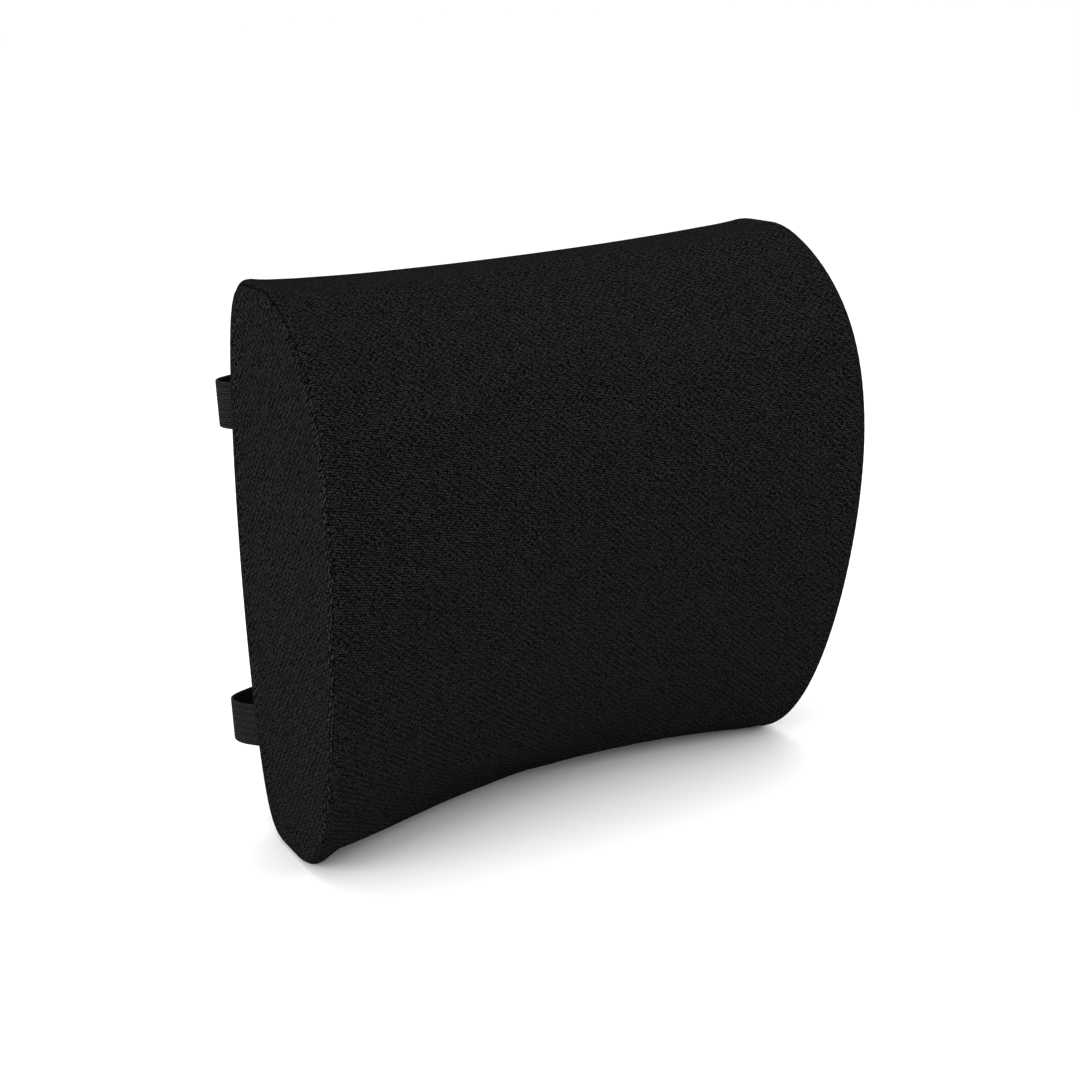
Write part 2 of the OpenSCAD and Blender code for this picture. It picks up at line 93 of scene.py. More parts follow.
def on_curve(d, y, z):
    a, t = d / ARC_R, d / HALF
    bow = BOW * (1 - (z / HALF_H) ** 2) * t * np.abs(t)
    return np.stack([ARC_R * np.sin(a) + bow, ARC_R * (np.cos(a) - 1) + SAG + y - LEAN * z, z], -1)


def back_point(d, z):
    """A point of the back face at a place along the middle line and a height."""
    inset = EDGE_R - math.sqrt(EDGE_R**2 - max(0.0, EDGE_R - (HALF - d)) ** 2)
    high = HALF_H * (1 - WAIST * (1 - (d / HALF) ** 2)) - inset
    y = (BACK - inset) * (1 - abs(z / high) ** BACK_EXP) ** (1 / BACK_EXP)
    return on_curve(np.array([d]), np.array([y]), np.array([z]))[0]


# The sockets are the rearmost thing, so their CAD box gives the shift to the row frame
socket_back = back_point(HALF - SEAM, -STRAP_Z)[1] + STRAP_SAG + SOCKET_HALF
shift_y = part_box("lower_buckle_socket")[1][1] / MM - socket_back

# The zip follows the circle through the back's middle and near its ends
zip_mid, zip_far = back_point(0.0, ZIP_Z), back_point(0.8 * HALF, ZIP_Z)
zip_drop = zip_mid[1] - zip_far[1]
ZIP_R = (zip_far[0] ** 2 + zip_drop**2) / (2 * zip_drop)
ZIP_CENTRE = zip_mid[1] - ZIP_R

EDGE_LEN = EDGE_R * math.pi / 2
BODY_LEN = 2 * (HALF - EDGE_R)
TOTAL = 2 * FACE_R + 2 * EDGE_LEN + BODY_LEN
SEAM_M = FACE_R + EDGE_LEN / 2
UPPER_CORNER, LOWER_CORNER = 45, 315


def meridian(m):
    """From one end's middle, over the round edge, along the body, to the other end's middle."""
    m = np.asarray(m, float)
    far = m > TOTAL / 2
    k = np.where(far, TOTAL - m, m)
    share = np.clip(k / FACE_R, 0, 1)
    phi = np.clip((k - FACE_R) / EDGE_R, 0, math.pi / 2)
    run = np.maximum(0, k - FACE_R - EDGE_LEN)
    d = -HALF + EDGE_R * (1 - np.cos(phi)) + run
    inset = EDGE_R * (1 - np.sin(phi))
    return np.where(far, -d, d), inset, share


def surface(m, angle, skin=0.0):
    """Points of the cushion's skin, a skin's depth inside it, in the section frame."""
    d, inset, share = meridian(m)
    d = d * (HALF - skin) / HALF
    q = 1 - (d / HALF) ** 2
    high = HALF_H * (1 - WAIST * q) - skin - inset
    front = FRONT * (1 + BELLY_GAIN * q) - skin - inset
    back = BACK - skin - inset
    y, z = section(angle, back, front, high)
    return on_curve(d, y * share, z * share)


# Angles at even steps round the middle section
_a = np.linspace(0, 360, 7201)
_p = surface(np.full(_a.shape, TOTAL / 2), _a)
_len = np.concatenate([[0], np.cumsum(np.linalg.norm(np.diff(_p, axis=0), axis=1))])
GIRTH = float(_len[-1])


def angle_at(s):
    return np.interp(np.mod(s, GIRTH), _len, _a)


def girth_at(angle):
    return np.interp(angle, _a, _len)


def smooth(t):
    """An even S from 0 to 1."""
    t = np.clip(t, 0, 1)
    return t * t * (3 - 2 * t)


# ---------------------------------------------------------------- mesh helpers


def place(points):
    """Section frame in mm to the row frame in metres."""
    p = np.asarray(points, float)
    return (p + [0, shift_y, FOOT_Z]) * MM


def make(name, verts, faces, material, body, weave=None):
    """A mesh object; weave is where each vertex lies on its flat cloth, in metres."""
    mesh = bpy.data.meshes.new(name)
    mesh.from_pydata([tuple(v) for v in np.asarray(verts, float)], [], faces)
    mesh.validate()
    if weave is not None:
        layer = mesh.attributes.new("weave", "FLOAT_VECTOR", "POINT")
        layer.data.foreach_set("vector", np.asarray(weave, np.float32).ravel())
    mesh.polygons.foreach_set("use_smooth", [True] * len(mesh.polygons))
    mesh.materials.append(material)
    mesh.update()
    ob = bpy.data.objects.new(name, mesh)
    bpy.context.scene.collection.objects.link(ob)
    if body:
        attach(ob, body)
    return ob


def grid_faces(rows, cols, base=0, flip=False, wrap=False):
    """Quads over a grid of vertices; wrap joins its last column to its first."""
    i = np.arange(rows - 1)[:, None]
    j = np.arange(cols if wrap else cols - 1)[None, :]
    a = base + i * cols + j
    b = base + i * cols + (j + 1) % cols
    quads = [a, a + cols, b + cols, b] if flip else [a, b, b + cols, a + cols]
    return np.stack(quads, -1).reshape(-1, 4).tolist()


def closed_sheet(outer, inner):
    """Verts and faces of a panel with thickness, from two grids of the same size."""
    rows, cols = outer.shape[:2]
    m = rows * cols
    verts = np.concatenate([outer.reshape(-1, 3), inner.reshape(-1, 3)])
    faces = grid_faces(rows, cols) + grid_faces(rows, cols, m, True)
    ring = list(range(cols)) + [i * cols + cols - 1 for i in range(1, rows)]
    ring += [(rows - 1) * cols + j for j in range(cols - 2, -1, -1)]
    ring += [i * cols for i in range(rows - 2, 0, -1)]
    for k, a in enumerate(ring):
        b = ring[(k + 1) % len(ring)]
        faces.append([a, m + a, m + b, b])
    return verts, faces


def join_parts(parts):
    verts, faces, base = [], [], 0
    for v, f in parts:
        verts.append(np.asarray(v, float))
        faces += [[base + k for k in face] for face in f]
        base += len(v)
    return np.concatenate(verts), faces


def tube(path, radius, sides=6):
    """A round thread along a path of points."""
    p = np.asarray(path, float)
    n = len(p)
    tangent = np.gradient(p, axis=0)
    tangent /= np.linalg.norm(tangent, axis=1)[:, None]
    side = np.cross(tangent, [0, 0, 1.0])
    weak = np.linalg.norm(side, axis=1) < 0.2
    side[weak] = np.cross(tangent[weak], [0, 1.0, 0])
    side /= np.linalg.norm(side, axis=1)[:, None]
    up = np.cross(side, tangent)
    radius = np.broadcast_to(np.asarray(radius, float), (n,))
    a = np.arange(sides) * 2 * math.pi / sides
    around = side[:, None] * np.cos(a)[None, :, None] + up[:, None] * np.sin(a)[None, :, None]
    verts = (p[:, None] + radius[:, None, None] * around).reshape(-1, 3)
    faces = grid_faces(n, sides, 0, False, True)
    faces += [list(range(sides))[::-1], [(n - 1) * sides + k for k in range(sides)]]
    return verts, faces


def stitch(start, end, up, radius=0.28, dip=0.35, points=6):
    """One stitch: a short thread that rises out of the cloth and goes back in."""
    t = np.linspace(0, 1, points)
    lift = np.sin(math.pi * t) ** 0.5 * dip - dip * 0.55
    path = np.outer(1 - t, start) + np.outer(t, end) + np.outer(lift, up)
    return tube(path, radius * (0.55 + 0.45 * np.sin(math.pi * t)), 6)


def stitch_row(points, ups, pitch=3.2, share=0.78, radius=0.28, dip=0.35):
    """Stitches at an even pitch along a line of points."""
    p, u = np.asarray(points, float), np.asarray(ups, float)
    s = np.concatenate([[0], np.cumsum(np.linalg.norm(np.diff(p, axis=0), axis=1))])
    count = max(1, int(s[-1] // pitch))
    step = s[-1] / count
    parts = []
    for k in range(count):
        a, b = k * step + step * (1 - share) / 2, (k + 1) * step - step * (1 - share) / 2
        at = lambda v, x: np.array([np.interp(x, s, v[:, c]) for c in range(3)])
        n = at(u, (a + b) / 2)
        parts.append(stitch(at(p, a), at(p, b), n / np.linalg.norm(n), radius, dip))
    return parts


# ---------------------------------------------------------------- materials


class Net:
    """A node tree with short calls for sums, waves and noise."""

    def __init__(self, name):
        self.m = bpy.data.materials.new(name)
        self.m.use_nodes = True
        self.t = self.m.node_tree
        self.b = self.t.nodes["Principled BSDF"]

    def node(self, kind, inputs=(), **settings):
        n = self.t.nodes.new(kind)
        for key, value in settings.items():
            setattr(n, key, value)
        for slot, value in dict(inputs).items():
            if isinstance(value, bpy.types.NodeSocket):
                self.t.links.new(value, n.inputs[slot])
            else:
                n.inputs[slot].default_value = value
        return n

    def math(self, op, a, b=0.0, c=0.0):
        return self.node("ShaderNodeMath", {0: a, 1: b, 2: c}, operation=op).outputs[0]

    def wave(self, x, per):
        """0 to 1 cosine ripple of that period."""
        turned = self.math("MULTIPLY", x, 2 * math.pi / per)
        return self.math("MULTIPLY_ADD", self.math("COSINE", turned), 0.5, 0.5)

    def noise(self, vector, scale, detail=2.0, rough=0.5):
        inputs = {"Vector": vector, "Scale": scale, "Detail": detail, "Roughness": rough}
        return self.node("ShaderNodeTexNoise", inputs).outputs["Fac"]

    def scaled_noise(self, vector, by, detail, rough=0.5, turned=(0, 0, 0)):
        """Noise stretched along the axes."""
        inputs = {"Vector": vector, "Scale": by, "Rotation": turned}
        return self.noise(self.node("ShaderNodeMapping", inputs).outputs[0], 1.0, detail, rough)

    def ramp(self, fac, stops):
        n = self.node("ShaderNodeValToRGB", {"Fac": fac})
        n.color_ramp.elements.remove(n.color_ramp.elements[1])
        for k, (at, colour) in enumerate(stops):
            e = n.color_ramp.elements[0] if k == 0 else n.color_ramp.elements.new(at)
            e.position = at
            e.color = (*colour, 1)
        return n.outputs["Color"]

    def bump(self, height, distance, strength):
        inputs = {"Height": height, "Distance": distance, "Strength": strength}
        return self.node("ShaderNodeBump", inputs).outputs["Normal"]

    def cells(self, vector, scale):
        return self.node("ShaderNodeTexVoronoi", {"Vector": vector, "Scale": scale}).outputs["Distance"]

    def shifted(self, vector, by):
        return self.node("ShaderNodeVectorMath", {0: vector, 1: by}, operation="ADD").outputs[0]

    def object_space(self):
        return self.node("ShaderNodeTexCoord").outputs["Object"]

    def weave(self):
        """Where a point lies on the flat cloth: the place, how far along, how far across."""
        v = self.node("ShaderNodeAttribute", attribute_name="weave").outputs["Vector"]
        s = self.node("ShaderNodeSeparateXYZ", {0: v})
        return v, s.outputs[0], s.outputs[1]

    def set(self, **values):
        for key, value in values.items():
            socket = self.b.inputs[key.replace("_", " ")]
            if isinstance(value, bpy.types.NodeSocket):
                self.t.links.new(value, socket)
            else:
                socket.default_value = value
        return self.m


def grey(v):
    return (v, v, v)


def cover_material(name, brightest):
    """Air-mesh knit: diagonal yarns round small pits, worked in short floats along slanting courses, with
    painted shade in the pits and painted glints on the floats.
    """
    n = Net(name)
    v, x, y = n.weave()
    aside = n.shifted(v, (3.1, 7.7, 0))
    x = n.math("MULTIPLY_ADD", n.math("SUBTRACT", n.noise(v, 150.0), 0.5), 0.0016, x)
    y = n.math("MULTIPLY_ADD", n.math("SUBTRACT", n.noise(aside, 150.0), 0.5), 0.0012, y)
    u, w = n.math("DIVIDE", x, MESH_WIDE * MM), n.math("DIVIDE", y, MESH_TALL * MM)
    falling = n.wave(n.math("SUBTRACT", u, w), 1.0)
    rising = n.wave(n.math("ADD", u, w), 1.0)
    net = n.math("MULTIPLY_ADD", falling, 0.6, n.math("MULTIPLY", rising, 0.4))
    # three courses to a mesh; each course is a row of floats, and each float's colour is made lighter or
    # darker at random, a painted glint for the light each float catches its own way
    course = n.math("MULTIPLY_ADD", w, -3.0, u)
    row = n.math("FLOOR", n.math("ADD", course, 0.5))
    run = n.math("MULTIPLY_ADD", row, 0.37, n.math("MULTIPLY", u, 2.0))
    cell = n.node("ShaderNodeCombineXYZ", {0: n.math("FLOOR", run), 1: row}).outputs[0]
    chance = n.node("ShaderNodeTexWhiteNoise", {"Vector": cell}, noise_dimensions="2D").outputs["Value"]
    bulge = n.math("POWER", n.wave(n.math("ADD", run, 0.5), 1.0), 0.6)
    yarn = n.math("MULTIPLY", n.wave(course, 1.0), n.math("MULTIPLY_ADD", bulge, 0.65, 0.35))
    floats_painted_glints = n.math("MULTIPLY", yarn, n.math("MULTIPLY_ADD", chance, 0.6, 0.35))
    # filament bundles: a flattened grain of random tone, stronger in some places than in others; its
    # strongest bright and dark specks also stand for painted glints and painted shade in the pits
    bundles = n.math("SUBTRACT", n.scaled_noise(v, (720.0, 1250.0, 1.0), 1.0), 0.5)
    strength = n.math("MULTIPLY_ADD", n.noise(aside, 420.0, 1.0), 6.0, -0.8)
    fibre = n.math("SUBTRACT", n.noise(v, 2300.0, 1.0, 0.7), 0.5)
    # the net's low places, the pits between the yarns, go near black: painted shade in the knit's hollows,
    # over the knit's own pattern
    tone = n.math("MULTIPLY_ADD", net, 0.33, floats_painted_glints)
    tone = n.math("MULTIPLY_ADD", bundles, strength, tone)
    tone = n.math("ADD", n.math("MULTIPLY_ADD", fibre, 1.5, 0.085), tone)
    colour = n.ramp(tone, [(0.0, grey(0.0002)), (0.5, grey(0.0055)), (1.0, grey(brightest))])
    height = n.math("MULTIPLY_ADD", net, 0.9, n.math("MULTIPLY", yarn, 0.4))
    normal = n.bump(n.math("MULTIPLY_ADD", fibre, 0.3, height), 0.00035, 0.8)
    rough = n.math("MULTIPLY_ADD", fibre, 0.2, 0.85)
    return n.set(Base_Color=colour, Roughness=rough, Normal=normal, Specular_IOR_Level=0.0)


def webbing_material(name):
    """Ribbed elastic: rubber-core ribs along it, weft picks across it, and a flat selvedge."""
    n = Net(name)
    v, s, z = n.weave()
    drift = n.math("MULTIPLY", n.math("SUBTRACT", n.noise(v, 260.0, 2.0), 0.5), 0.0004)
    ribs = n.wave(n.math("ADD", z, drift), 0.0041)
    zigzag = n.math("MULTIPLY_ADD", n.math("PINGPONG", z, 0.00205), 0.9, s)
    pick = n.wave(n.math("ADD", zigzag, drift), 0.0016)
    cross = n.wave(n.math("ADD", z, drift), 0.00137)
    fibre = n.noise(v, 2400.0, 1.0, 0.7)
    bundles = n.noise(v, 1100.0, 1.0, 0.5)
    weave = n.math("MULTIPLY_ADD", pick, 0.5, n.math("MULTIPLY", cross, 0.35))
    weave = n.math("MULTIPLY_ADD", ribs, 0.15, weave)
    height = n.math("MULTIPLY_ADD", fibre, 0.25, weave)
    tone = n.math("MULTIPLY_ADD", fibre, 0.5, weave)
    tone = n.math("MULTIPLY_ADD", n.math("SUBTRACT", bundles, 0.5), 1.6, tone)
    colour = n.ramp(tone, [(0.2, grey(0.0003)), (0.65, grey(0.0068)), (1.0, grey(0.0200))])
    normal = n.bump(height, 0.00025, 0.8)
    rough = n.math("MULTIPLY_ADD", fibre, 0.2, 0.7)
    return n.set(Base_Color=colour, Roughness=rough, Normal=normal, Specular_IOR_Level=0.01)


def tape_material(name):
    """Zip tape: a fine herringbone twill."""
    n = Net(name)
    v, s, z = n.weave()
    twill = n.wave(n.math("MULTIPLY_ADD", n.math("PINGPONG", z, 0.0022), 1.0, s), 0.0009)
    cross = n.wave(z, 0.00055)
    fibre = n.noise(v, 3000.0, 2.0, 0.7)
    height = n.math("MULTIPLY_ADD", cross, 0.35, n.math("MULTIPLY", twill, 0.65))
    height = n.math("MULTIPLY_ADD", fibre, 0.2, height)
    colour = n.ramp(height, [(0.0, grey(0.003)), (0.5, grey(0.010)), (1.0, grey(0.024))])
    rough = n.math("MULTIPLY_ADD", fibre, 0.2, 0.68)
    normal = n.bump(height, 0.0002, 0.8)
    return n.set(Base_Color=colour, Roughness=rough, Normal=normal, Specular_IOR_Level=0.15)


def thread_material(name, level=1.0):
    """Spun polyester thread with a fine twist."""
    n = Net(name)
    o = n.object_space()
    s = n.node("ShaderNodeSeparateXYZ", {0: o})
    twist = n.math("MULTIPLY_ADD", s.outputs[2], 1.3, n.math("ADD", s.outputs[0], s.outputs[1]))
    ply = n.wave(twist, 0.00055)
    fuzz = n.noise(o, 3500.0, 2.0, 0.7)
    tone = n.math("MULTIPLY_ADD", fuzz, 0.5, n.math("MULTIPLY", ply, 0.5))
    colour = n.ramp(tone, [(0.0, grey(0.006 * level)), (1.0, grey(0.034 * level))])
    normal = n.bump(n.math("ADD", ply, fuzz), 0.00012, 0.7)
    rough = n.math("MULTIPLY_ADD", fuzz, 0.25, 0.5)
    return n.set(Base_Color=colour, Roughness=rough, Normal=normal, Specular_IOR_Level=0.3)


def plastic_material(name):
    """Black acetal: spark-eroded grain, faint flow marks and handling rub."""
    n = Net(name)
    o = n.object_space()
    grain = n.noise(o, 1700.0, 3.0, 0.65)
    flow = n.scaled_noise(o, (40, 40, 160), 4.0, 0.6)
    rub = n.noise(o, 110.0, 4.0, 0.7)
    tone = n.math("ADD", n.math("MULTIPLY", flow, 0.5), n.math("MULTIPLY", rub, 0.5))
    colour = n.ramp(tone, [(0.25, grey(0.0075)), (0.55, grey(0.0115)), (0.8, grey(0.018))])
    rough = n.math("ADD", n.math("MULTIPLY", rub, 0.22), n.math("MULTIPLY_ADD", grain, 0.14, 0.26))
    normal = n.bump(n.math("MULTIPLY_ADD", n.cells(o, 1500.0), 0.5, grain), 0.00006, 0.8)
    return n.set(Base_Color=colour, Roughness=rough, Normal=normal, Specular_IOR_Level=0.42)


def metal_material(name):
    """Black enamelled die-cast zinc, rubbed a little where it is handled."""
    n = Net(name)
    o = n.object_space()
    peel = n.noise(o, 900.0, 2.0, 0.5)
    rub = n.noise(o, 420.0, 5.0, 0.75)
    scratch = n.scaled_noise(o, (300, 300, 4200), 2.0, 0.6, (0.3, 0.2, 0.1))
    bare = n.math("GREATER_THAN", n.math("MULTIPLY", rub, scratch), 0.42)
    tone = n.math("MULTIPLY_ADD", rub, 0.55, n.math("MULTIPLY", bare, 0.45))
    colour = n.ramp(tone, [(0.2, grey(0.010)), (0.5, grey(0.017)), (0.75, grey(0.06)), (1.0, grey(0.12))])
    rough = n.math("MULTIPLY_ADD", rub, 0.25, n.math("MULTIPLY_ADD", scratch, 0.2, 0.08))
    normal = n.bump(n.math("MULTIPLY_ADD", scratch, 0.3, peel), 0.00005, 0.6)
    return n.set(Base_Color=colour, Roughness=rough, Metallic=0.55, Normal=normal, Specular_IOR_Level=0.5)


def coil_material(name):
    """Drawn nylon monofilament."""
    n = Net(name)
    o = n.object_space()
    haze = n.noise(o, 700.0, 3.0, 0.6)
    fine = n.noise(o, 3200.0, 1.0, 0.5)
    colour = n.ramp(haze, [(0.2, grey(0.006)), (0.8, grey(0.018))])
    rough = n.math("MULTIPLY_ADD", haze, 0.2, 0.24)
    normal = n.bump(fine, 0.00003, 0.5)
    return n.set(Base_Color=colour, Roughness=rough, Normal=normal, Specular_IOR_Level=0.45)


def foam_material(name):
    """Open-cell memory foam, a little yellowed and cut smooth."""
    n = Net(name)
    o = n.object_space()
    cells = n.cells(o, 900.0)
    tone = n.math("MULTIPLY_ADD", n.noise(o, 25.0, 4.0, 0.6), 0.6, n.math("MULTIPLY", cells, 0.4))
    colour = n.ramp(tone, [(0.1, (0.50, 0.44, 0.31)), (0.5, (0.72, 0.67, 0.54)), (0.9, (0.83, 0.80, 0.70))])
    rough = n.math("MULTIPLY_ADD", cells, 0.2, 0.78)
    normal = n.bump(cells, 0.0006, 0.7)
    return n.set(Base_Color=colour, Roughness=rough, Normal=normal, Specular_IOR_Level=0.25)


def liner_material(name):
    """Thin plain-woven liner cloth."""
    n = Net(name)
    v, x, y = n.weave()
    weave = n.math("MAXIMUM", n.wave(x, 0.0007), n.wave(y, 0.0007))
    slub = n.noise(v, 90.0, 4.0, 0.6)
    tone = n.math("MULTIPLY_ADD", slub, 0.5, n.math("MULTIPLY", weave, 0.5))
    colour = n.ramp(tone, [(0.2, (0.62, 0.62, 0.58)), (0.8, (0.84, 0.84, 0.81))])
    rough = n.math("MULTIPLY_ADD", slub, 0.15, 0.75)
    normal = n.bump(weave, 0.0002, 0.7)
    return n.set(Base_Color=colour, Roughness=rough, Normal=normal, Specular_IOR_Level=0.2)


# One knit in three copies; the ends' copy is painted lighter, painted light as if the ends were lit more than
# the front and back
knit_front = cover_material("knit_front", 0.019)
knit_end_painted_lighter = cover_material("knit_end_painted_lighter", 0.0225)
knit_back = cover_material("knit_back", 0.019)
webbing_mat = webbing_material("elastic_webbing_ribbed")
tape_mat = tape_material("zip_tape_twill")
thread_mat = thread_material("thread_black")
thread_web = thread_material("thread_strap", 1.5)
plastic_mat = plastic_material("plastic_grained")
metal_mat = metal_material("enamel_black")
coil_mat = coil_material("nylon_coil")
foam_mat = foam_material("foam_open_cell")
liner_mat = liner_material("liner_woven")

# ---------------------------------------------------------------- cloth pass on the cushion cover

FACE_ROWS, EDGE_ROWS, BODY_ROWS, COLS = 12, 3, 54, 132
row_m = np.concatenate([
    np.linspace(FACE_R / FACE_ROWS, FACE_R, FACE_ROWS)[:-1],
    FACE_R + np.linspace(0, EDGE_LEN, EDGE_ROWS + 1)[:-1],
    FACE_R + EDGE_LEN + np.linspace(0, BODY_LEN, BODY_ROWS + 1),
])
row_m = np.concatenate([row_m, TOTAL - row_m[:-(BODY_ROWS + 1)][::-1]])
row_m = np.unique(np.round(row_m, 6))
col_s = np.arange(COLS) * GIRTH / COLS
CAP = 1.6  # the most that the cover may move, mm
POLE_EASE, SEAM_EASE = 12, 20  # the movement fades in over these, from an end's middle and from its seam
SIM_SKIN, SIM_FRAMES = 0.8, 20


def simulate():
    """Blows the cover up against its own stiffness and returns how far each grid point moved."""
    m, s = np.meshgrid(row_m, col_s, indexing="ij")
    base = surface(m, angle_at(s), SIM_SKIN)
    rows = len(row_m)
    poles = surface(np.array([0.0, TOTAL]), np.zeros(2), SIM_SKIN)
    verts = np.concatenate([base.reshape(-1, 3), poles]) * MM
    faces = grid_faces(rows, COLS, 0, True, True)
    a, b = rows * COLS, rows * COLS + 1
    faces += [[a, (j + 1) % COLS, j] for j in range(COLS)]
    faces += [[b, (rows - 1) * COLS + j, (rows - 1) * COLS + (j + 1) % COLS] for j in range(COLS)]
    mesh = bpy.data.meshes.new("cover_sim")
    mesh.from_pydata([tuple(v) for v in verts], [], faces)
    mesh.update()
    ob = bpy.data.objects.new("cover_sim", mesh)
    bpy.context.scene.collection.objects.link(ob)
    # the seams are held: round both ends, and along both back corners
    first, last = [int(np.argmin(np.abs(row_m - k))) for k in (SEAM_M, TOTAL - SEAM_M)]
    held = [r * COLS + j for r in (first, last) for j in range(COLS)]
    for corner in (UPPER_CORNER, LOWER_CORNER):
        col = int(round(girth_at(corner) / GIRTH * COLS)) % COLS
        held += [r * COLS + col for r in range(first, last + 1)]
    pins = ob.vertex_groups.new(name="pins")
    pins.add(sorted(set(held)), 1.0, "REPLACE")
    cloth = ob.modifiers.new("cloth", "CLOTH")
    st = cloth.settings
    st.quality = 5
    st.mass = 0.25
    st.tension_stiffness = st.compression_stiffness = 18
    st.shear_stiffness = 8
    st.bending_stiffness = 2.5
    st.use_pressure = True
    st.uniform_pressure_force = 4.0
    st.vertex_group_mass = "pins"
    st.shrink_min = -0.002
    st.effector_weights.gravity = 0
    cloth.collision_settings.use_collision = False
    scene = bpy.context.scene
    scene.frame_start, scene.frame_end = 1, SIM_FRAMES
    for f in range(1, SIM_FRAMES + 1):
        scene.frame_set(f)
    dg = bpy.context.evaluated_depsgraph_get()
    ev = ob.evaluated_get(dg)
    co = np.zeros(len(mesh.vertices) * 3)
    ev.data.vertices.foreach_get("co", co)
    move = (co.reshape(-1, 3) - verts)[: rows * COLS].reshape(rows, COLS, 3) / MM
    bpy.data.objects.remove(ob)
    scene.frame_set(1)
    size = np.linalg.norm(move, axis=-1, keepdims=True)
    return move * np.minimum(1, CAP / np.maximum(size, 1e-9))


swell = simulate()


def cubic_weights(t):
    """Weights of four neighbours for a smooth curve through the middle two."""
    before, after = -0.5 * t + t**2 - 0.5 * t**3, -0.5 * t**2 + 0.5 * t**3
    return np.stack([before, 1 - 2.5 * t**2 + 1.5 * t**3, 0.5 * t + 2 * t**2 - 1.5 * t**3, after], -1)


def swell_at(m, s):
    """The cloth pass's movement at any place on the skin, smoothly interpolated."""
    i = np.interp(m, row_m, np.arange(len(row_m)))
    j = np.mod(s, GIRTH) / GIRTH * COLS
    i0, j0 = np.floor(i).astype(int), np.floor(j).astype(int)
    wi, wj = cubic_weights(i - i0), cubic_weights(j - j0)
    out = np.zeros(m.shape + (3,))
    for a in range(4):
        for b in range(4):
            part = swell[np.clip(i0 + a - 1, 0, len(row_m) - 1), np.mod(j0 + b - 1, COLS)]
            out += (wi[..., a] * wj[..., b])[..., None] * part
    # the foam holds the cover out along the end seams, so the crown starts gently there
    k = np.minimum(m, TOTAL - m)
    share = np.clip(k / POLE_EASE, 0, 1) * smooth(np.abs(k - SEAM_M) / SEAM_EASE)
    return out * share[..., None]


def normals_of(grid):
    du, dv = np.gradient(grid, axis=0), np.gradient(grid, axis=1)
    n = np.cross(dv, du)
    size = np.linalg.norm(n, axis=-1, keepdims=True)
    return n / np.maximum(size, 1e-9)


def outward(grid, n):
    """Turns the normals to point away from the middle of the cushion."""
    mid = np.array([0, SAG * 0.5 - 18.0, 0])
    return n if np.sum(n * (grid - mid)) > 0 else -n


ROLL_LOW, ROLL_MORE = 0.6, 1.7  # the end seams' roll, and how much more it is over the top (mm)
ROLL_MID, ROLL_REACH, ROLL_FADE = 85.0, 25.0, 35.0  # where the top is: its middle, reach and fade (degrees)


def end_seam_roll(s):
    """The end seams are drawn in more over the top of the cushion than down its front and back."""
    return ROLL_LOW + ROLL_MORE * (1 - smooth((np.abs(angle_at(s) - ROLL_MID) - ROLL_REACH) / ROLL_FADE))


def seam_shape(t, phase, r=1.0):
    """Height across a seam at t mm from it: an edge rolled by r mm into the groove, then a faint shoulder."""
    roll = np.where(t < r, -(r - np.sqrt(np.maximum(0, r * r - (r - t) ** 2))) * 0.92, 0)
    pucker = 0.05 * np.sin(phase * 2 * math.pi / 6.4) * np.exp(-t / 5.0)
    shoulder = 0.35 * np.exp(-(((t - 6.0) / 4.0) ** 2))
    return roll + pucker + shoulder


def skin_layers(m, s, seam_t, lift):
    """Outer and inner face of a piece of the cover; seam_t is each point's distance from the nearest seam."""
    outer = surface(m, angle_at(s)) + swell_at(m, s)
    n = outward(outer, normals_of(outer))
    outer = outer + n * lift[..., None]
    outer[..., 2] = np.maximum(outer[..., 2], -FOOT_Z)
    return outer, outer - n * np.minimum(COVER_T - 0.4, 1.2 + seam_t)[..., None]


def cover_panel(name, verts, faces, material, node, weave):
    """A padded panel of the cover, standing for its CAD node; weave covers one face, in mm."""
    weave = np.asarray(weave).reshape(-1, 3)
    ob = make(name, verts, faces, material, "cushion", weave * MM)
    fix_normals(ob)
    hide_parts(node)


def flat_panel(name, m, s, seam_t, lift, material, node, weave):
    outer, inner = skin_layers(m, s, seam_t, lift)
    v, f = closed_sheet(place(outer), place(inner))
    cover_panel(name, v, f, material, node, [weave, weave])


def fix_normals(ob):
    bm = bmesh.new()
    bm.from_mesh(ob.data)
    bmesh.ops.remove_doubles(bm, verts=bm.verts, dist=1e-7)
    bmesh.ops.recalc_face_normals(bm, faces=bm.faces)
    bm.to_mesh(ob.data)
    bm.free()


def dense(a, b, step, fine=0.45, zone=4.0):
    """Even places from a to b, closer together near both ends."""
    n = max(2, int(round((b - a - 2 * zone) / step)))
    k = int(round(zone / fine))
    left = a + zone * (np.arange(k) / k) ** 1.25
    return np.concatenate([left, np.linspace(a + zone, b - zone, n + 1), (a + b - left)[::-1]])


HALF_GAP = 0.1
STEP = 2.3
s_top, s_bottom = float(girth_at(UPPER_CORNER)), float(girth_at(LOWER_CORNER))

# Front panel: round the front from the upper back corner to the lower one
m_line = dense(SEAM_M + HALF_GAP, TOTAL - SEAM_M - HALF_GAP, STEP)
s_line = dense(s_top + HALF_GAP, s_bottom - HALF_GAP, STEP)
mm, ss = np.meshgrid(m_line, s_line, indexing="ij")
t_m = np.minimum(mm - SEAM_M, TOTAL - SEAM_M - mm)
t_s = np.minimum(ss - s_top, s_bottom - ss)
at_end, t = t_m < t_s, np.minimum(t_m, t_s)
lift = seam_shape(t, np.where(at_end, ss, mm), np.where(at_end, end_seam_roll(ss), 1.0))
weave = np.stack([mm, ss, np.zeros_like(mm)], -1)
flat_panel("cover_front", mm, ss, t, lift, knit_front, "cover_front_panel", weave)

